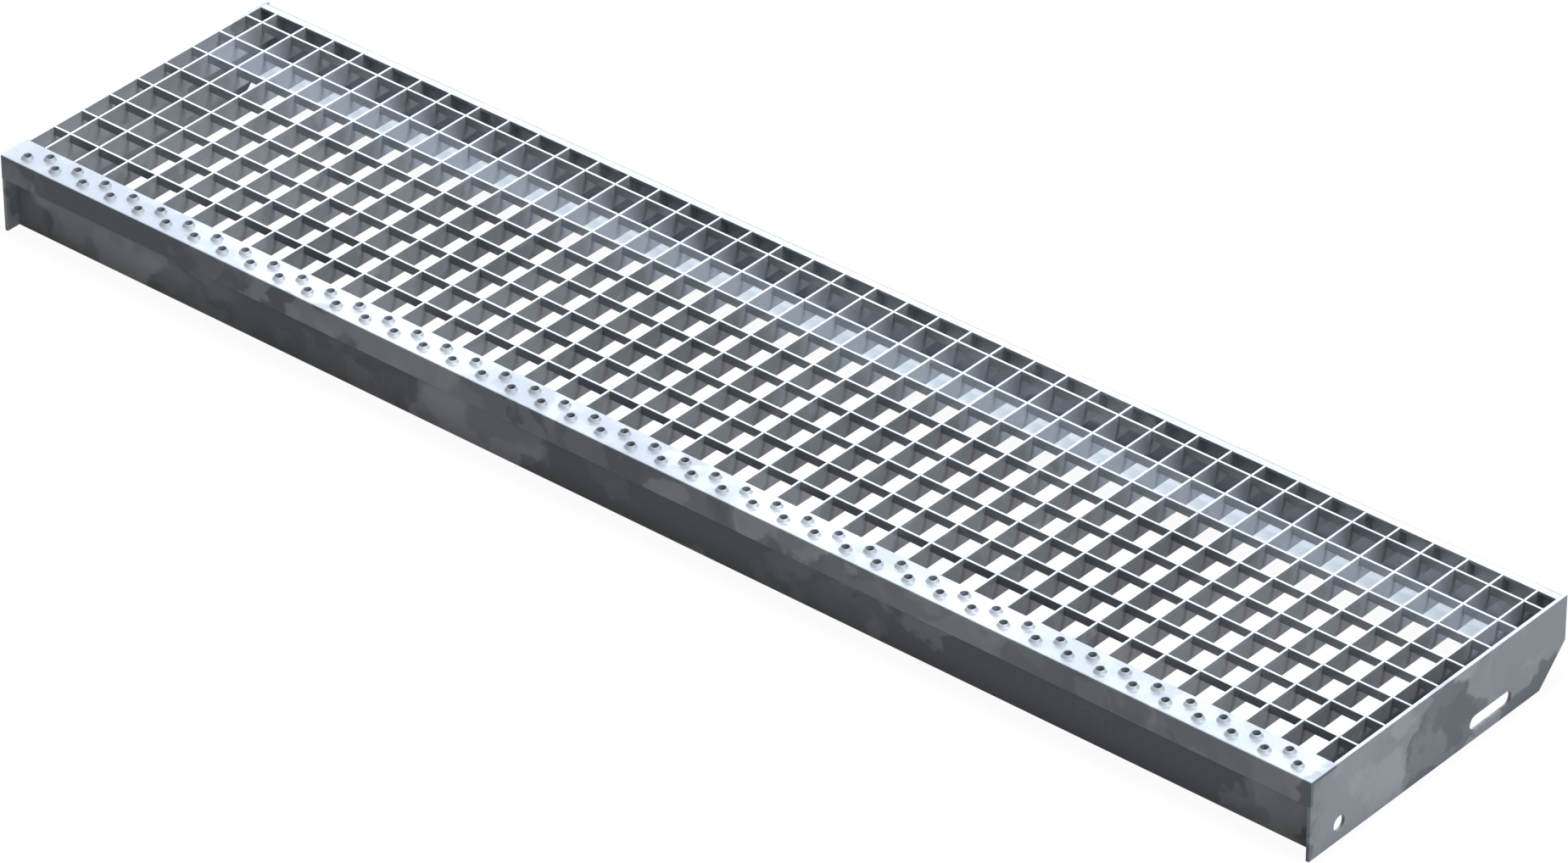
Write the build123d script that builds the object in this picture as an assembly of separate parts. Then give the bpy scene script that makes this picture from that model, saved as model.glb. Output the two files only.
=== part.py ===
from build123d import *
import os

# Metal stair tread: a pressed grating between two bolting side plates, with a perforated
# nosing in front of it and a folded profile behind it. Millimetres.
# X runs along the tread, -Y is the nosing at the front and +Z is up.
# The origin is under the middle of the tread, level with the side plates' lower edges.

# Whole tread, over the side plates
tread_length = 1300.0
tread_depth = 305.0

# Side plates
plate_height = 70.0
plate_thickness = 3.0
plate_chamfer = 30.0
bolt_hole_diameter = 13.0
bolt_hole_from_front = 35.0
bolt_line_from_top = 55.0
bolt_spacing = 180.0
slot_length = 50.0
slot_width = 13.0

# Nosing, a folded strip with two staggered rows of raised perforations
nosing_thickness = 3.0
nosing_flange = 30.0
nosing_lip = 22.0
nosing_edge_radius = 0.8
perforation_pitch = 30.0
perforation_end_room = 20.0
perforation_rows_from_front = (10.0, 20.0)
collar_height = 3.0
collar_base_radius = 5.2
collar_rim_radius = 3.9
perforation_radius = 3.3
collar_sides = 8

# Apron, the flat strip that stands behind the nosing's lip
apron_setback = 13.0
apron_thickness = 3.0

# Rear profile, folded from one sheet
rear_thickness = 3.0
rear_height = 50.0
rear_top_flange = 10.0
rear_bottom_flange = 40.0
rear_fold_radius = 2.0

# Bearing bars, which run front to back
bearing_count = 41
bearing_thickness = 2.0
bearing_height = 20.0
bearing_end_room = 17.0

# Cross bars, pressed into slots in the bearing bars
cross_count = 8
cross_thickness = 2.0
cross_height = 8.0
first_cross_from_front = 58.0
cross_rear_room = 23.5

# Planes that the pieces share
front_y = -tread_depth / 2
rear_y = tread_depth / 2
top_z = plate_height
inner_x = tread_length / 2 - plate_thickness
inner_length = 2 * inner_x
flange_under_z = top_z - nosing_thickness
flange_rear_y = front_y + nosing_flange
apron_rear_y = front_y + apron_setback + apron_thickness
rear_web_y = rear_y - rear_thickness
rear_flange_front_y = rear_y - rear_top_flange
rear_flange_under_z = top_z - rear_thickness


def spread(count, pitch):
    """Places of count copies at one pitch, centred on zero."""
    return [(i - (count - 1) / 2) * pitch for i in range(count)]


def copies_within(room, pitch):
    """How many copies at one pitch fit in a length, with one at each end."""
    return int(room / pitch + 1e-6) + 1


bearing_pitch = (inner_length - 2 * bearing_end_room) / (bearing_count - 1)
bearing_places = spread(bearing_count, bearing_pitch)

first_cross_y = front_y + first_cross_from_front
last_cross_y = rear_web_y - cross_rear_room
cross_pitch = (last_cross_y - first_cross_y) / (cross_count - 1)
cross_places = [first_cross_y + i * cross_pitch for i in range(cross_count)]


def side_section(points):
    """A closed outline of (y, z) points, as a face in the tread's side view."""
    return Plane.YZ * make_face(Polyline(*points, close=True))


def along_length(face, length, middle_x=0.0):
    """A side-view face drawn out along the tread, centred on one place."""
    return Pos(middle_x - length / 2, 0, 0) * extrude(face, length, dir=(1, 0, 0))


def side_plate():
    """The left plate: seat for the nosing, rear chamfer, round hole and long hole."""
    outline = [
        (front_y, 0),
        (front_y, top_z - nosing_lip),
        (front_y + nosing_thickness, top_z - nosing_lip),
        (front_y + nosing_thickness, flange_under_z),
        (flange_rear_y, flange_under_z),
        (flange_rear_y, top_z),
        (rear_y, top_z),
        (rear_y, plate_chamfer),
        (rear_y - plate_chamfer, 0),
    ]
    bolt_line_z = top_z - bolt_line_from_top
    bolt_hole_y = front_y + bolt_hole_from_front
    slot_y = bolt_hole_y + bolt_spacing
    face = side_section(outline)
    face -= Plane.YZ * Pos(bolt_hole_y, bolt_line_z) * Circle(bolt_hole_diameter / 2)
    face -= Plane.YZ * Pos(slot_y, bolt_line_z) * SlotOverall(slot_length, slot_width)
    return along_length(face, plate_thickness, -inner_x - plate_thickness / 2)


def collar():
    """One raised perforation's metal, a many-sided ring drawn up from the sheet."""
    foot = RegularPolygon(collar_base_radius, collar_sides)
    rim = Pos(0, 0, collar_height) * RegularPolygon(collar_rim_radius, collar_sides)
    return loft([foot, rim], ruled=True)


def perforation():
    """The hole through one collar and the sheet below it."""
    reach = nosing_thickness + collar_height
    return extrude(RegularPolygon(perforation_radius, collar_sides), reach, both=True)


def nosing():
    """The folded strip, flush with the grating, whose ends cover the side plates."""
    outline = [
        (front_y, top_z - nosing_lip),
        (front_y, top_z),
        (flange_rear_y, top_z),
        (flange_rear_y, flange_under_z),
        (front_y + nosing_thickness, flange_under_z),
        (front_y + nosing_thickness, top_z - nosing_lip),
    ]
    strip = along_length(side_section(outline), tread_length)
    nose = strip.edges().filter_by(Axis.X).sort_by(lambda e: e.center().Z - e.center().Y)[-1]
    strip = fillet(nose, nosing_edge_radius)

    front_count = copies_within(tread_length - 2 * perforation_end_room, perforation_pitch)
    places = []
    for row, from_front in enumerate(perforation_rows_from_front):
        for x in spread(front_count - row % 2, perforation_pitch):
            places.append(Pos(x, front_y + from_front, top_z))
    one_collar, one_hole = collar(), perforation()
    return strip + [place * one_collar for place in places] - [place * one_hole for place in places]


def apron():
    """The flat strip between the side plates, under the nosing's flange."""
    outline = [
        (front_y + apron_setback, 0),
        (apron_rear_y, 0),
        (apron_rear_y, flange_under_z),
        (front_y + apron_setback, flange_under_z),
    ]
    return along_length(side_section(outline), inner_length)


def rear_profile():
    """The channel behind the grating: short top flange, web and long bottom flange."""
    outer_radius = rear_fold_radius + rear_thickness
    bottom_z = top_z - rear_height
    outside = FilletPolyline(
        (rear_flange_front_y, top_z),
        (rear_y, top_z),
        (rear_y, bottom_z),
        (rear_y - rear_bottom_flange, bottom_z),
        radius=outer_radius,
    )
    inside = FilletPolyline(
        (rear_y - rear_bottom_flange, bottom_z + rear_thickness),
        (rear_web_y, bottom_z + rear_thickness),
        (rear_web_y, rear_flange_under_z),
        (rear_flange_front_y, rear_flange_under_z),
        radius=rear_fold_radius,
    )
    ends = Line(outside @ 1, inside @ 0) + Line(inside @ 1, outside @ 0)
    section = Plane.YZ * make_face(outside + inside + ends)
    return along_length(section, inner_length)


def bearing_bar():
    """One front-to-back bar, stepped under the flanges and slotted for the cross bars."""
    bottom_z = top_z - bearing_height
    outline = [
        (apron_rear_y, bottom_z),
        (apron_rear_y, flange_under_z),
        (flange_rear_y, flange_under_z),
        (flange_rear_y, top_z),
        (rear_flange_front_y, top_z),
        (rear_flange_front_y, rear_flange_under_z),
        (rear_web_y - rear_fold_radius, rear_flange_under_z),
        (rear_web_y, rear_flange_under_z - rear_fold_radius),
        (rear_web_y, bottom_z),
    ]
    face = side_section(outline)
    slot = Rectangle(cross_thickness, 2 * cross_height)
    for y in cross_places:
        face -= Plane.YZ * Pos(y, top_z) * slot
    return along_length(face, bearing_thickness)


def cross_bar():
    """One shallow bar that runs the whole length between the side plates."""
    bar = Box(inner_length, cross_thickness, cross_height)
    return Pos(0, 0, top_z - cross_height / 2) * bar


def write(part, node):
    part.label = node
    export_step(part, f"parts/{node}.step")


os.makedirs("parts", exist_ok=True)

left_plate = side_plate()
write(left_plate, "side_plate_left")
write(mirror(left_plate, about=Plane.YZ), "side_plate_right")
write(nosing(), "nosing")
write(apron(), "front_apron")
write(rear_profile(), "rear_profile")

one_bearing_bar = bearing_bar()
for number, x in enumerate(bearing_places, 1):
    write(Pos(x, 0, 0) * one_bearing_bar, f"bearing_bar_{number:02d}")

one_cross_bar = cross_bar()
for number, y in enumerate(cross_places, 1):
    write(Pos(0, y, 0) * one_cross_bar, f"cross_bar_{number}")
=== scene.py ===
"""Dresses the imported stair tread: softened sheet and bars, drawn perforations and zinc."""

import math

import bmesh
import bpy
from mathutils import Matrix, Vector


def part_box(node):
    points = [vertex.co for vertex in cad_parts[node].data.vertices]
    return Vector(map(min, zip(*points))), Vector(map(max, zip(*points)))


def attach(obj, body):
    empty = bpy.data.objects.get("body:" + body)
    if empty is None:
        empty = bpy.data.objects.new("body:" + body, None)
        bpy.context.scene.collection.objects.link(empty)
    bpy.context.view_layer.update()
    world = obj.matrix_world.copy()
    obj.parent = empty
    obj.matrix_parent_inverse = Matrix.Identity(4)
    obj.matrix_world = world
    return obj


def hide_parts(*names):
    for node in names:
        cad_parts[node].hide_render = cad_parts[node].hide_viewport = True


bl_info = {
    "name": "Galvanised Stair Tread",
    "version": (1, 0, 0),
    "blender": (4, 5, 0),
    "location": "3D View > Sidebar > Stair Tread",
    "description": "Builds the visible pieces of a galvanised grating stair tread",
    "category": "Object",
}

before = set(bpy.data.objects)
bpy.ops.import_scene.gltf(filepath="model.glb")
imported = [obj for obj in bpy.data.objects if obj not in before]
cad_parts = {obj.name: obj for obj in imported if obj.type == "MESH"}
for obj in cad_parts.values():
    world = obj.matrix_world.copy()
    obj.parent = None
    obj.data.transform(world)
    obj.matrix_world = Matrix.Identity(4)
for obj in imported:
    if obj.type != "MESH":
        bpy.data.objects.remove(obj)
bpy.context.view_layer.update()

MM = 0.001
BODY = "root"
BARS = sorted(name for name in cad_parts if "_bar_" in name)
PLATES = ["side_plate_left", "side_plate_right"]
NOSING_LOW, NOSING_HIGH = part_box("nosing")
# The height of the surface that feet walk on, and a place that is off the tread.
WALKED_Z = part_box("cross_bar_1")[1].z
NOWHERE = -1.0

# The view of the photograph, 1849 pixels wide, for a sensor 36 mm wide.
CAMERA_PLACE = (3.75516, -4.33579, 3.86197)
CAMERA_RIGHT = (0.760531, 0.649283, -0.004959)
CAMERA_UP = (-0.358823, 0.426645, 0.830193)
CAMERA_LENS = 208.46

# The square of sheet round a perforation has this many parts a side, and its collar as
# many points as the square's border. Points closer than the weld are one.
TILE_PARTS = 6
RING_POINTS = 4 * TILE_PARTS
WELD = 0.005 * MM

# Faces that meet at less than the first angle are one flat face, edges sharper than the
# second are rounded, and those sharper than the third aren't shaded as one surface.
FLAT_ANGLE = math.radians(1)
ROUNDED_ANGLE = math.radians(40)
SHARP_ANGLE = math.radians(50)
# Where a rounded edge's middle facet starts, as a share of its radius.
CORNER_CUT = 0.29

# How far the zinc's painted light reaches, and where it has faded into aged zinc: below the
# top surface (painted top light), over the rear flange (painted light) and to both sides of
# the painted bounce light's line.
TOP_LIGHT_REACH, TOP_LIGHT_FADE = 0.1 * MM, 0.5 * MM
FLANGE_LIGHT_FADE = 1.5 * MM
BOUNCE_REACH, BOUNCE_FADE = 16 * MM, 34 * MM


def linear(hex_colour):
    """An sRGB hex colour as the linear RGBA that Blender works in."""
    digits = hex_colour.lstrip("#")
    channels = [int(digits[i:i + 2], 16) / 255 for i in (0, 2, 4)]
    return tuple(
        c / 12.92 if c <= 0.04045 else ((c + 0.055) / 1.055) ** 2.4 for c in channels
    ) + (1.0,)


class TreadSizes(bpy.types.PropertyGroup):
    """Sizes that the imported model's boxes don't give."""

    sheet: bpy.props.FloatProperty(
        name="Sheet", description="Thickness of the nosing's sheet",
        default=3 * MM, unit="LENGTH", subtype="DISTANCE")
    nose_radius: bpy.props.FloatProperty(
        name="Nose radius", description="Outer radius of the nosing's front bend",
        default=0.9 * MM, unit="LENGTH", subtype="DISTANCE")
    sheet_edge: bpy.props.FloatProperty(
        name="Sheet edge", description="Rounding of cut sheet edges under the zinc",
        default=0.4 * MM, unit="LENGTH", subtype="DISTANCE")
    bar_edge: bpy.props.FloatProperty(
        name="Bar edge", description="Rounding of the bars' edges under the zinc",
        default=0.2 * MM, unit="LENGTH", subtype="DISTANCE")
    pitch: bpy.props.FloatProperty(
        name="Perforation pitch", description="Distance between perforations in one row",
        default=30 * MM, unit="LENGTH", subtype="DISTANCE")
    front_row: bpy.props.FloatProperty(
        name="Front row", description="Distance of the front row from the nosing's front",
        default=10 * MM, unit="LENGTH", subtype="DISTANCE")
    rear_row: bpy.props.FloatProperty(
        name="Rear row", description="Distance of the rear row from the nosing's front",
        default=20 * MM, unit="LENGTH", subtype="DISTANCE")
    collar_height: bpy.props.FloatProperty(
        name="Collar height", description="Height of a perforation's collar over the sheet",
        default=3 * MM, unit="LENGTH", subtype="DISTANCE")
    foot_radius: bpy.props.FloatProperty(
        name="Foot radius", description="Radius of a collar where it leaves the sheet",
        default=5.2 * MM, unit="LENGTH", subtype="DISTANCE")
    hole_radius: bpy.props.FloatProperty(
        name="Hole radius", description="Radius of the hole through a collar",
        default=3.3 * MM, unit="LENGTH", subtype="DISTANCE")


class TreadFinish(bpy.types.PropertyGroup):
    """Colours and pattern sizes of the zinc."""

    pale_zinc: bpy.props.FloatVectorProperty(
        name="Pale zinc", description="Colour of the bright patches", subtype="COLOR",
        size=4, min=0, max=1, default=linear("#b1b4b8"))
    dull_zinc: bpy.props.FloatVectorProperty(
        name="Dull zinc", description="Colour of the dull patches", subtype="COLOR",
        size=4, min=0, max=1, default=linear("#74787c"))
    # Painted top light: the tops are drawn in this paler zinc, in place of the light on
    # them.
    top_light_zinc: bpy.props.FloatVectorProperty(
        name="Top light zinc", description="Colour of the zinc's painted top light",
        subtype="COLOR", size=4, min=0, max=1, default=linear("#ced5dd"))
    patch: bpy.props.FloatProperty(
        name="Patch", description="Usual width of one zinc patch",
        default=60 * MM, unit="LENGTH", subtype="DISTANCE")
    grain: bpy.props.FloatProperty(
        name="Grain", description="Width of the zinc's fine roughness",
        default=2.5 * MM, unit="LENGTH", subtype="DISTANCE")


class TreadStage(bpy.types.PropertyGroup):
    """Floor, background and lamps."""

    floor_colour: bpy.props.FloatVectorProperty(
        name="Floor", description="Colour of the floor", subtype="COLOR",
        size=4, min=0, max=1, default=linear("#5a5c5e"))
    ground_colour: bpy.props.FloatVectorProperty(
        name="Ground", description="Colour of the floor where it is seen", subtype="COLOR",
        size=4, min=0, max=1, default=linear("#ececec"))
    ground_in_metal: bpy.props.FloatProperty(
        name="Ground in metal", description="How white the ground is in the metal",
        default=0.25, min=0, max=1)
    floor_size: bpy.props.FloatProperty(
        name="Floor size", description="Width of the square floor",
        default=24.0, unit="LENGTH", subtype="DISTANCE")
    room_light: bpy.props.FloatProperty(
        name="Room light", description="Strength of the soft light from all round",
        default=0.08, min=0)
    top_power: bpy.props.FloatProperty(
        name="Top power", description="Power of the lamp right above",
        default=215.0, unit="POWER")
    panel_power: bpy.props.FloatProperty(
        name="Panel power", description="Power of the wide panel behind, at the left",
        default=142.0, unit="POWER")
    side_power: bpy.props.FloatProperty(
        name="Side power", description="Power of the lamp behind, at the right",
        default=400.0, unit="POWER")
    front_power: bpy.props.FloatProperty(
        name="Front power", description="Power of the lamp in front, at the right",
        default=42.0, unit="POWER")
    low_power: bpy.props.FloatProperty(
        name="Low power", description="Power of the lamp just over the floor at the right",
        default=45.0, unit="POWER")


def add_node(tree, kind, settings=None, links=None):
    """One shader node, with its settings and with its inputs joined to other outputs."""
    node = tree.nodes.new(kind)
    for key, value in (settings or {}).items():
        if isinstance(key, str) and hasattr(node, key):
            setattr(node, key, value)
        else:
            node.inputs[key].default_value = value
    for key, source in (links or {}).items():
        tree.links.new(source, node.inputs[key])
    return node


def empty_material(name):
    """A node material with nothing in it but its output."""
    material = bpy.data.materials.new(name)
    material.use_nodes = True
    material.node_tree.nodes.clear()
    return material, add_node(material.node_tree, "ShaderNodeOutputMaterial")


def galvanised_steel(name, finish, patch_scale, contrast, tone_shift, turn,
                     bareness=(0.05, 0.2), roughness=(0.56, 0.40), top_light_share=0.5,
                     lit_flange_z=NOWHERE, bounce_band_y=NOWHERE):
    """Mild steel hot-dip galvanised after welding.

    The zinc dulls in soft patches, so neighbouring patches differ in colour and in
    roughness. Over them lies the fine grain of the dip, and a slow ripple where the
    zinc ran off, which break up the highlights. Bareness and roughness are given for
    the dullest and for the palest zinc.
    """
    material, output = empty_material(name)
    tree = material.node_tree
    coords = add_node(tree, "ShaderNodeTexCoord")
    turned = add_node(tree, "ShaderNodeMapping", {
        "Rotation": (turn, 0.35 * turn, 0.6 * turn)},
        {"Vector": coords.outputs["Object"]})
    patch_width = finish.patch * patch_scale
    # The patches' borders wander by about half a patch, and here and there run sharp.
    wander = add_node(tree, "ShaderNodeTexNoise", {
        "Scale": 1.3 / patch_width, "Detail": 3.0, "Roughness": 0.55},
        {"Vector": turned.outputs["Vector"]})
    centred = add_node(tree, "ShaderNodeVectorMath", {
        "operation": "SUBTRACT", 1: (0.5, 0.5, 0.5)}, {0: wander.outputs["Color"]})
    shift = add_node(tree, "ShaderNodeVectorMath", {
        "operation": "SCALE", "Scale": 1.6 * patch_width}, {0: centred.outputs["Vector"]})
    place = add_node(tree, "ShaderNodeVectorMath", {"operation": "ADD"}, {
        0: turned.outputs["Vector"], 1: shift.outputs["Vector"]})
    large = add_node(tree, "ShaderNodeTexVoronoi", {
        "feature": "SMOOTH_F1", "Scale": 1 / (1.5 * patch_width), "Smoothness": 0.12},
        {"Vector": place.outputs["Vector"]})
    small = add_node(tree, "ShaderNodeTexVoronoi", {
        "feature": "SMOOTH_F1", "Scale": 1 / (0.6 * patch_width), "Smoothness": 0.35},
        {"Vector": place.outputs["Vector"]})
    clouds = add_node(tree, "ShaderNodeTexNoise", {
        "Scale": 1 / (3 * patch_width), "Detail": 2.0, "Roughness": 0.5},
        {"Vector": turned.outputs["Vector"]})
    # The real grain is under 1 mm wide, and is drawn coarser so that it shows.
    grain = add_node(tree, "ShaderNodeTexNoise", {
        "Scale": 1 / finish.grain, "Detail": 2.0, "Roughness": 0.6},
        {"Vector": coords.outputs["Object"]})
    ripple = add_node(tree, "ShaderNodeTexNoise", {
        "Scale": 1 / (14 * MM), "Detail": 1.0, "Roughness": 0.4},
        {"Vector": coords.outputs["Object"]})

    large_tone = add_node(
        tree, "ShaderNodeSeparateColor", None, {0: large.outputs["Color"]})
    small_tone = add_node(
        tree, "ShaderNodeSeparateColor", None, {0: small.outputs["Color"]})
    cells = add_node(tree, "ShaderNodeMix", {0: 0.3}, {
        2: large_tone.outputs[0], 3: small_tone.outputs[0]})
    blend = add_node(tree, "ShaderNodeMix", {0: 0.4}, {
        2: cells.outputs[0], 3: clouds.outputs["Fac"]})
    middle = 0.5 - tone_shift
    paleness = add_node(tree, "ShaderNodeMapRange", {
        "From Min": middle - 0.5 / contrast, "From Max": middle + 0.5 / contrast},
        {"Value": blend.outputs[0]})
    aged = add_node(tree, "ShaderNodeMix", {
        "data_type": "RGBA", 6: finish.dull_zinc, 7: finish.pale_zinc},
        {0: paleness.outputs["Result"]})
    # Painted top light: level with the tread's top surface the zinc is drawn paler. Painted
    # light on the rear flange's top and painted bounce light on the bars over it draw it
    # paler too.
    spot = add_node(tree, "ShaderNodeSeparateXYZ", None, {0: coords.outputs["Object"]})
    top_lit = add_node(tree, "ShaderNodeMapRange", {
        "From Min": WALKED_Z - TOP_LIGHT_FADE, "From Max": WALKED_Z - TOP_LIGHT_REACH,
        "To Max": top_light_share},
        {"Value": spot.outputs["Z"]})
    # Painted light: the rear flange's top is drawn paler, for the strong light on it.
    lit_flange = add_node(tree, "ShaderNodeMapRange", {
        "From Min": lit_flange_z + FLANGE_LIGHT_FADE, "From Max": lit_flange_z},
        {"Value": spot.outputs["Z"]})
    # Painted bounce light: bars round a line over the rear flange are drawn paler, for the
    # light the flange throws onto them.
    along = add_node(tree, "ShaderNodeMath", {"operation": "SUBTRACT", 1: bounce_band_y},
                     {0: spot.outputs["Y"]})
    away = add_node(tree, "ShaderNodeMath", {"operation": "ABSOLUTE"},
                    {0: along.outputs["Value"]})
    bounce_band = add_node(tree, "ShaderNodeMapRange", {
        "From Min": BOUNCE_FADE, "From Max": BOUNCE_REACH, "To Max": 0.75},
        {"Value": away.outputs["Value"]})
    flange_and_bounce_light = add_node(tree, "ShaderNodeMath", {"operation": "MAXIMUM"}, {
        0: lit_flange.outputs["Result"], 1: bounce_band.outputs["Result"]})
    bright = add_node(tree, "ShaderNodeMath", {"operation": "MAXIMUM"}, {
        0: top_lit.outputs["Result"], 1: flange_and_bounce_light.outputs["Value"]})
    zinc = add_node(tree, "ShaderNodeMix", {
        "data_type": "RGBA", 7: finish.top_light_zinc},
        {0: bright.outputs["Value"], 6: aged.outputs[2]})
    speckle = add_node(tree, "ShaderNodeMapRange", {
        "From Min": 0.3, "From Max": 0.7, "To Min": 0.96, "To Max": 1.04},
        {"Value": grain.outputs["Fac"]})
    colour = add_node(tree, "ShaderNodeVectorMath", {"operation": "SCALE"},
                      {0: zinc.outputs[2], "Scale": speckle.outputs["Result"]})
    dullness = add_node(tree, "ShaderNodeMapRange", {
        "To Min": roughness[0], "To Max": roughness[1]},
        {"Value": paleness.outputs["Result"]})

    # Dull patches are oxide over the zinc, and under the painted top light it is nearly bare
    # metal.
    bare = add_node(tree, "ShaderNodeMapRange", {
        "To Min": bareness[0], "To Max": bareness[1]},
        {"Value": paleness.outputs["Result"]})
    metal = add_node(tree, "ShaderNodeMix", {3: 0.9}, {
        0: top_lit.outputs["Result"], 2: bare.outputs["Result"]})

    slow = add_node(tree, "ShaderNodeBump", {
        "Strength": 0.25, "Distance": 0.4 * MM}, {"Height": ripple.outputs["Fac"]})
    rough = add_node(tree, "ShaderNodeBump", {
        "Strength": 0.3, "Distance": 0.06 * MM},
        {"Height": grain.outputs["Fac"], "Normal": slow.outputs["Normal"]})
    steel = add_node(tree, "ShaderNodeBsdfPrincipled", None, {
        "Base Color": colour.outputs["Vector"],
        "Metallic": metal.outputs[0],
        "Roughness": dullness.outputs["Result"],
        "Normal": rough.outputs["Normal"]})
    tree.links.new(steel.outputs["BSDF"], output.inputs["Surface"])
    return material


def finish_piece(bm, name, nodes, material):
    """The finished object of a bmesh, evenly shaded, in place of its CAD nodes."""
    mesh = bpy.data.meshes.new(name)
    for face in bm.faces:
        face.smooth = True
    bm.to_mesh(mesh)
    bm.free()
    mesh.set_sharp_from_angle(angle=SHARP_ANGLE)
    mesh.materials.append(material)
    piece = bpy.data.objects.new(name, mesh)
    bpy.context.scene.collection.objects.link(piece)
    shading = piece.modifiers.new("Even shading", "WEIGHTED_NORMAL")
    shading.keep_sharp = True
    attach(piece, BODY)
    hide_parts(*nodes)
    return piece


def softened_copy(node, name, edge_radius, segments, material):
    """A copy of a CAD node whose sharp edges are rounded as the zinc rounds them."""
    bm = bmesh.new()
    bm.from_mesh(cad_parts[node].data)
    bmesh.ops.remove_doubles(bm, verts=bm.verts, dist=WELD)
    bmesh.ops.dissolve_limit(
        bm, angle_limit=FLAT_ANGLE, verts=bm.verts, edges=bm.edges)
    sharp = [edge for edge in bm.edges if edge.calc_face_angle(0) > ROUNDED_ANGLE]
    bmesh.ops.bevel(
        bm, geom=sharp, affect="EDGES", offset=edge_radius, offset_type="OFFSET",
        segments=segments, profile=0.5, clamp_overlap=True, material=-1)
    return finish_piece(bm, name, [node], material)


def flat_grid(bm, x_ends, y_ends, z, x_parts, y_parts):
    """A flat rectangle of sheet surface. Gives its vertices."""
    centre = Vector((sum(x_ends) / 2, sum(y_ends) / 2, z))
    size = Matrix.Diagonal((x_ends[1] - x_ends[0], y_ends[1] - y_ends[0], 1, 1))
    made = bmesh.ops.create_grid(
        bm, x_segments=x_parts, y_segments=y_parts, size=0.5,
        matrix=Matrix.Translation(centre) @ size)
    return made["verts"]


def tile_outline(bm, x_ends, y_ends, z):
    """The border of a rectangle of sheet surface. Gives its edges."""
    verts = flat_grid(bm, x_ends, y_ends, z, TILE_PARTS, TILE_PARTS)
    faces = list(dict.fromkeys(face for vert in verts for face in vert.link_faces))
    border = [edge for vert in verts for edge in vert.link_edges if edge.is_boundary]
    border = list(dict.fromkeys(border))
    bmesh.ops.delete(bm, geom=faces, context="FACES_KEEP_BOUNDARY")
    return border


def extrude_line(bm, edges, move):
    """Draws a line of edges out by one step. Gives the new line."""
    made = bmesh.ops.extrude_edge_only(bm, edges=edges)["geom"]
    verts = [item for item in made if isinstance(item, bmesh.types.BMVert)]
    move(verts)
    reached = set(verts)
    return [edge for edge in made if isinstance(edge, bmesh.types.BMEdge)
            and edge.verts[0] in reached and edge.verts[1] in reached]


def joint_wave(x, sizes):
    """How far the line between the two rows of tiles swings back at one place."""
    from_hole = abs((x + sizes.pitch / 2) % sizes.pitch - sizes.pitch / 2)
    swing = (sizes.rear_row - sizes.front_row) / 4
    return swing * (1 - 4 * from_hole / sizes.pitch)


def swing_joint(bm, joint_y, x_shift, sizes):
    """Bends the line between the two rows of tiles, so that it clears every collar."""
    for vert in bm.verts:
        if abs(vert.co.y - joint_y) < WELD:
            vert.co.y += joint_wave(vert.co.x + x_shift, sizes)


def perforated_tile(sizes, hole_y, top_ends, under_ends, joint_y, x_shift):
    """The sheet round one perforation, as a mesh: skin, collar, hole wall and underside."""
    top_z = NOSING_HIGH.z - sizes.collar_height
    under_z = top_z - sizes.sheet
    half = sizes.pitch / 2
    bm = bmesh.new()
    top_border = tile_outline(bm, (-half, half), top_ends, top_z)
    under_border = tile_outline(bm, (-half, half), under_ends, under_z)
    swing_joint(bm, joint_y, x_shift, sizes)

    # Radius and height over the sheet, from the foot up to the thin rim and down the hole.
    high, hole = sizes.collar_height, sizes.hole_radius
    wall = sizes.foot_radius - hole
    section = [
        (hole + 1.45 * wall, 0.0), (hole + 1.15 * wall, 0.02 * high),
        (hole + 0.95 * wall, 0.10 * high), (hole + 0.76 * wall, 0.30 * high),
        (hole + 0.47 * wall, 0.68 * high), (hole + 0.28 * wall, 0.92 * high),
        (hole + 0.20 * wall, 0.99 * high), (hole + 0.09 * wall, 0.99 * high),
        (hole + 0.01 * wall, 0.92 * high), (hole, 0.6 * high),
        (hole, -0.9 * sizes.sheet), (hole + 0.1 * wall, -sizes.sheet),
    ]
    centre = Vector((0, hole_y, 0))
    ring_verts = bmesh.ops.create_circle(
        bm, segments=RING_POINTS, radius=section[0][0],
        matrix=Matrix.Translation((0, hole_y, top_z)))["verts"]
    ring = list(dict.fromkeys(edge for vert in ring_verts for edge in vert.link_edges))
    bmesh.ops.bridge_loops(bm, edges=top_border + ring)
    for (radius, height), (next_radius, next_height) in zip(section, section[1:]):
        def draw(verts):
            scale = next_radius / radius
            bmesh.ops.scale(
                bm, vec=(scale, scale, 1), space=Matrix.Translation(-centre), verts=verts)
            bmesh.ops.translate(bm, vec=(0, 0, next_height - height), verts=verts)
        ring = extrude_line(bm, ring, draw)
    bmesh.ops.bridge_loops(bm, edges=under_border + ring)

    tile = bpy.data.meshes.new("tile")
    bm.to_mesh(tile)
    bm.free()
    return tile


def draw_sheet_edge(bm, start, path):
    """Draws a long boundary of the sheet along a path of (y, z) places."""
    line = [edge for edge in bm.edges if edge.is_boundary and all(
        abs(vert.co.y - start[0]) < WELD and abs(vert.co.z - start[1]) < WELD
        for vert in edge.verts)]
    for (y, z), (next_y, next_z) in zip([start] + path, path):
        def draw(verts):
            bmesh.ops.translate(bm, vec=(0, next_y - y, next_z - z), verts=verts)
        line = extrude_line(bm, line, draw)


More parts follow.
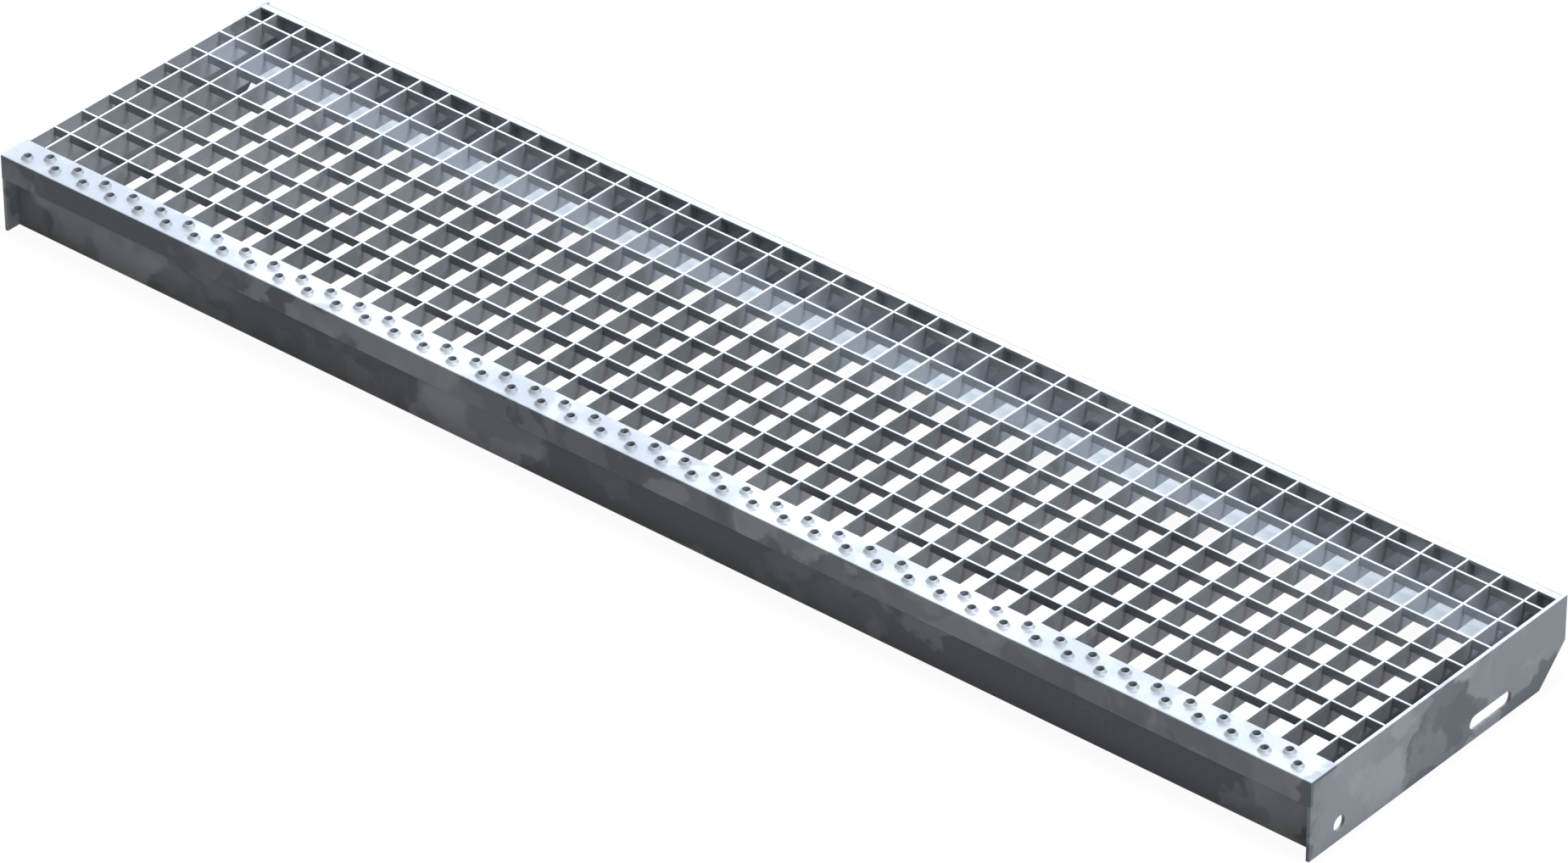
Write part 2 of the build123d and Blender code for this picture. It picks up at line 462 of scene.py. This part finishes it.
class TREAD_OT_nosing(bpy.types.Operator):
    """Build the folded nosing with its two rows of drawn perforations"""

    bl_idname = "tread.nosing"
    bl_label = "Nosing"

    def execute(self, context):
        sizes = context.scene.tread_sizes
        top_z = NOSING_HIGH.z - sizes.collar_height
        under_z = top_z - sizes.sheet
        front, rear, end = NOSING_LOW.y, NOSING_HIGH.y, NOSING_HIGH.x
        edge = sizes.sheet_edge
        joint_y = front + (sizes.front_row + sizes.rear_row) / 2
        half = sizes.pitch / 2

        front_count = 2 * int((end - half) / sizes.pitch) + 1
        rows = []
        for count, row_y, top_ends, under_ends, shift in (
            (front_count, sizes.front_row, (front + sizes.nose_radius, joint_y),
             (front + sizes.sheet, joint_y), 0.0),
            (front_count - 1, sizes.rear_row, (joint_y, rear - edge),
             (joint_y, rear - edge), half),
        ):
            tile = perforated_tile(
                sizes, front + row_y, top_ends, under_ends, joint_y, shift)
            rows.append((tile, count, top_ends, under_ends))

        bm = bmesh.new()
        for tile, count, top_ends, under_ends in rows:
            for i in range(count):
                known = len(bm.verts)
                bm.from_mesh(tile)
                bm.verts.ensure_lookup_table()
                x = (i - (count - 1) / 2) * sizes.pitch
                bmesh.ops.translate(bm, vec=(x, 0, 0), verts=bm.verts[known:])
            bpy.data.meshes.remove(tile)
            covered = count * half
            parts = round((end - covered) / (sizes.pitch / TILE_PARTS))
            plain = bmesh.new()
            for y_ends, z in ((top_ends, top_z), (under_ends, under_z)):
                for x_ends in ((covered, end), (-end, -covered)):
                    flat_grid(plain, x_ends, y_ends, z, parts, TILE_PARTS)
            swing_joint(plain, joint_y, 0.0, sizes)
            strip = bpy.data.meshes.new("strip")
            plain.to_mesh(strip)
            plain.free()
            bm.from_mesh(strip)
            bpy.data.meshes.remove(strip)
        bmesh.ops.remove_doubles(bm, verts=bm.verts, dist=WELD)

        radius = sizes.nose_radius
        turns = [math.radians(22.5 * i) for i in range(1, 5)]
        bend = [(front + radius * (1 - math.sin(turn)),
                 top_z - radius * (1 - math.cos(turn))) for turn in turns]
        inner = front + sizes.sheet
        bottom, cut = NOSING_LOW.z, CORNER_CUT * edge
        draw_sheet_edge(bm, (front + radius, top_z), bend + [
            (front, bottom + edge), (front + cut, bottom + cut), (front + edge, bottom),
            (inner - edge, bottom), (inner - cut, bottom + cut), (inner, bottom + edge),
            (inner, under_z)])
        draw_sheet_edge(bm, (rear - edge, top_z), [
            (rear - cut, top_z - cut), (rear, top_z - edge), (rear, under_z + edge),
            (rear - cut, under_z + cut), (rear - edge, under_z)])
        bmesh.ops.remove_doubles(bm, verts=bm.verts, dist=WELD)
        # Triangulated here, the ends are cut up alike each time the script runs.
        open_ends = [item for item in bm.edges if item.is_boundary]
        caps = bmesh.ops.holes_fill(bm, edges=open_ends, sides=0)["faces"]
        bmesh.ops.triangulate(bm, faces=caps, ngon_method="BEAUTY")
        bmesh.ops.recalc_face_normals(bm, faces=bm.faces)
        if any(not item.is_manifold for item in bm.edges):
            raise RuntimeError("the nosing's skin isn't closed")
        # The nosing's darker tone is painted shade, so that its front lip reads dark.
        zinc = galvanised_steel(
            "Hot-dip galvanised nosing", context.scene.tread_finish, 1.0, 2.4, -0.06, 2.8)
        finish_piece(bm, "nosing_skin", ["nosing"], zinc)
        return {"FINISHED"}


class TREAD_OT_side_plates(bpy.types.Operator):
    """Round the edges of the two bolting plates and galvanise them"""

    bl_idname = "tread.side_plates"
    bl_label = "Side plates"

    def execute(self, context):
        sizes = context.scene.tread_sizes
        zinc = galvanised_steel(
            "Hot-dip galvanised plate", context.scene.tread_finish, 1.0, 2.4, 0.08, 6.0,
            bareness=(0.1, 0.35))
        for node in PLATES:
            softened_copy(node, node + "_skin", sizes.sheet_edge, 2, zinc)
        return {"FINISHED"}


class TREAD_OT_folded_sheets(bpy.types.Operator):
    """Round the edges of the apron and of the rear profile and galvanise them"""

    bl_idname = "tread.folded_sheets"
    bl_label = "Folded sheets"

    def execute(self, context):
        sizes = context.scene.tread_sizes
        finish = context.scene.tread_finish
        flange_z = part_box("rear_profile")[0].z + sizes.sheet
        # The apron's and the rear profile's darker tones are painted shade: the apron lies
        # under the nosing's overhang, and the rear profile's web faces away from the lamps.
        # The rear profile also gets painted top light and painted light on its flange.
        for node, tone_shift, turn, top_light_share, lit_flange_z in (
            ("front_apron", -0.14, 25.2, 0.0, NOWHERE),
            ("rear_profile", -0.1, 1.7, 0.75, flange_z),
        ):
            zinc = galvanised_steel(
                "Hot-dip galvanised " + node.replace("_", " "), finish, 1.3, 2.6,
                tone_shift, turn, top_light_share=top_light_share, lit_flange_z=lit_flange_z)
            softened_copy(node, node + "_skin", sizes.sheet_edge, 2, zinc)
        return {"FINISHED"}


class TREAD_OT_grating(bpy.types.Operator):
    """Round the edges of the bearing and cross bars and galvanise them"""

    bl_idname = "tread.grating"
    bl_label = "Grating bars"

    def execute(self, context):
        sizes = context.scene.tread_sizes
        # The bars over the rear flange get painted bounce light.
        zinc = galvanised_steel(
            "Hot-dip galvanised bar", context.scene.tread_finish, 1.0, 1.3, 0.05, 0.2,
            bareness=(0.25, 0.45), roughness=(0.40, 0.30), bounce_band_y=84 * MM)
        for node in BARS:
            softened_copy(node, node + "_skin", sizes.bar_edge, 1, zinc)
        return {"FINISHED"}


def seen_directly(tree, in_metal=1.0):
    """1 for camera and transmission rays, in_metal for glossy ones, 0 for the rest."""
    path = add_node(tree, "ShaderNodeLightPath")
    glossy = add_node(tree, "ShaderNodeMath", {"operation": "MULTIPLY", 1: in_metal},
                      {0: path.outputs["Is Glossy Ray"]})
    camera_or_gloss = add_node(tree, "ShaderNodeMath", {"operation": "MAXIMUM"}, {
        0: path.outputs["Is Camera Ray"], 1: glossy.outputs["Value"]})
    return add_node(tree, "ShaderNodeMath", {"operation": "MAXIMUM"}, {
        0: camera_or_gloss.outputs["Value"], 1: path.outputs["Is Transmission Ray"]})


def floor_paint(name, stage):
    """A matt floor that the camera sees as a white ground.

    A small share of it stays matt paint in that view too, so that it keeps the shadow.
    The metal shows the same ground with more of the paint, as it reflects the floor
    close under the tread, most of which is shaded.
    """
    material, output = empty_material(name)
    tree = material.node_tree
    seen = seen_directly(tree, stage.ground_in_metal)
    paint = add_node(tree, "ShaderNodeMix", {
        "data_type": "RGBA", 6: stage.floor_colour, 7: stage.ground_colour},
        {0: seen.outputs["Value"]})
    share = add_node(tree, "ShaderNodeMath", {"operation": "MULTIPLY", 1: 0.95},
                     {0: seen.outputs["Value"]})
    matt = add_node(tree, "ShaderNodeBsdfDiffuse", None, {"Color": paint.outputs[2]})
    white = add_node(tree, "ShaderNodeEmission", {"Strength": 1.0})
    both = add_node(tree, "ShaderNodeMixShader", None, {
        0: share.outputs["Value"], 1: matt.outputs["BSDF"], 2: white.outputs["Emission"]})
    tree.links.new(both.outputs["Shader"], output.inputs["Surface"])
    return material


def add_lamp(name, place, target, width, height, power, hex_colour, mirrored=True):
    """A large soft rectangular lamp that faces a target and stays out of the picture.

    One that isn't mirrored lights the metal, but doesn't shine back from it.
    """
    lamp = bpy.data.lights.new(name, "AREA")
    lamp.shape, lamp.size, lamp.size_y = "RECTANGLE", width, height
    lamp.energy, lamp.color = power, linear(hex_colour)[:3]
    light = bpy.data.objects.new(name, lamp)
    light.location = place
    aim = Vector(target) - Vector(place)
    light.rotation_euler = aim.to_track_quat("-Z", "Y").to_euler()
    light.visible_camera, light.visible_glossy = False, mirrored
    bpy.context.scene.collection.objects.link(light)


class TREAD_OT_stage(bpy.types.Operator):
    """Set up the floor, the background, the lamps and the photograph's camera"""

    bl_idname = "tread.stage"
    bl_label = "Stage"

    def execute(self, context):
        scene, stage = context.scene, context.scene.tread_stage
        bm = bmesh.new()
        bmesh.ops.create_grid(bm, x_segments=1, y_segments=1, size=stage.floor_size / 2)
        mesh = bpy.data.meshes.new("floor")
        bm.to_mesh(mesh)
        bm.free()
        mesh.materials.append(floor_paint("Matt floor paint", stage))
        floor = bpy.data.objects.new("floor", mesh)
        scene.collection.objects.link(floor)

        world = bpy.data.worlds.new("Soft room")
        world.use_nodes = True
        tree = world.node_tree
        tree.nodes.clear()
        seen = seen_directly(tree)
        strength = add_node(tree, "ShaderNodeMapRange", {
            "To Min": stage.room_light, "To Max": 1.0}, {"Value": seen.outputs["Value"]})
        background = add_node(tree, "ShaderNodeBackground", {"Color": (1, 1, 1, 1)},
                              {"Strength": strength.outputs["Result"]})
        output = add_node(tree, "ShaderNodeOutputWorld")
        tree.links.new(background.outputs["Background"], output.inputs["Surface"])
        scene.world = world

        add_lamp("top_lamp", (0.2, 0.1, 4.0), (0, 0, 0), 1.2, 0.8, stage.top_power,
                 "#f6faff", mirrored=False)
        add_lamp("panel_lamp", (-2.7, 3.2, 2.8), (0, 0, 0), 5.0, 3.0, stage.panel_power,
                 "#e3edff")
        add_lamp("side_lamp", (7.8, 2.1, 6.9), (0, 0, 0), 2.1, 1.2, stage.side_power,
                 "#f6f9ff")
        add_lamp("front_lamp", (4.8, -4.4, 4.4), (0, 0, 0), 2.0, 1.6, stage.front_power,
                 "#f6f9ff")
        add_lamp("low_lamp", (5.0, -1.6, 0.5), (0.6, 0, 0), 1.6, 0.6, stage.low_power,
                 "#f0f6ff")

        view = bpy.data.cameras.new("photo_camera")
        view.sensor_width, view.sensor_fit, view.lens = 36.0, "HORIZONTAL", CAMERA_LENS
        camera = bpy.data.objects.new("photo_camera", view)
        right, up = Vector(CAMERA_RIGHT), Vector(CAMERA_UP)
        facing = Matrix((right, up, right.cross(up))).transposed().to_4x4()
        camera.matrix_world = Matrix.Translation(CAMERA_PLACE) @ facing
        scene.collection.objects.link(camera)
        scene.camera = camera
        scene.view_settings.view_transform = "Standard"
        return {"FINISHED"}


class TREAD_PT_pieces(bpy.types.Panel):
    """Lists the tread's pieces and its stage"""

    bl_idname = "TREAD_PT_pieces"
    bl_label = "Stair Tread"
    bl_space_type = "VIEW_3D"
    bl_region_type = "UI"
    bl_category = "Stair Tread"

    def draw(self, context):
        for operator in OPERATORS:
            self.layout.operator(operator.bl_idname)
        for group in (
            context.scene.tread_sizes, context.scene.tread_finish, context.scene.tread_stage
        ):
            box = self.layout.box()
            for name in group.__annotations__:
                box.prop(group, name)


OPERATORS = (
    TREAD_OT_nosing, TREAD_OT_side_plates, TREAD_OT_folded_sheets, TREAD_OT_grating,
    TREAD_OT_stage,
)
GROUPS = {"tread_sizes": TreadSizes, "tread_finish": TreadFinish, "tread_stage": TreadStage}


def register():
    for group in GROUPS.values():
        bpy.utils.register_class(group)
    for name, group in GROUPS.items():
        setattr(bpy.types.Scene, name, bpy.props.PointerProperty(type=group))
    for operator in OPERATORS:
        bpy.utils.register_class(operator)
    bpy.utils.register_class(TREAD_PT_pieces)


def unregister():
    bpy.utils.unregister_class(TREAD_PT_pieces)
    for operator in reversed(OPERATORS):
        bpy.utils.unregister_class(operator)
    for name, group in GROUPS.items():
        delattr(bpy.types.Scene, name)
        bpy.utils.unregister_class(group)


def main():
    register()
    bpy.ops.tread.nosing()
    bpy.ops.tread.side_plates()
    bpy.ops.tread.folded_sheets()
    bpy.ops.tread.grating()
    bpy.ops.tread.stage()


if __name__ == "__main__":
    main()
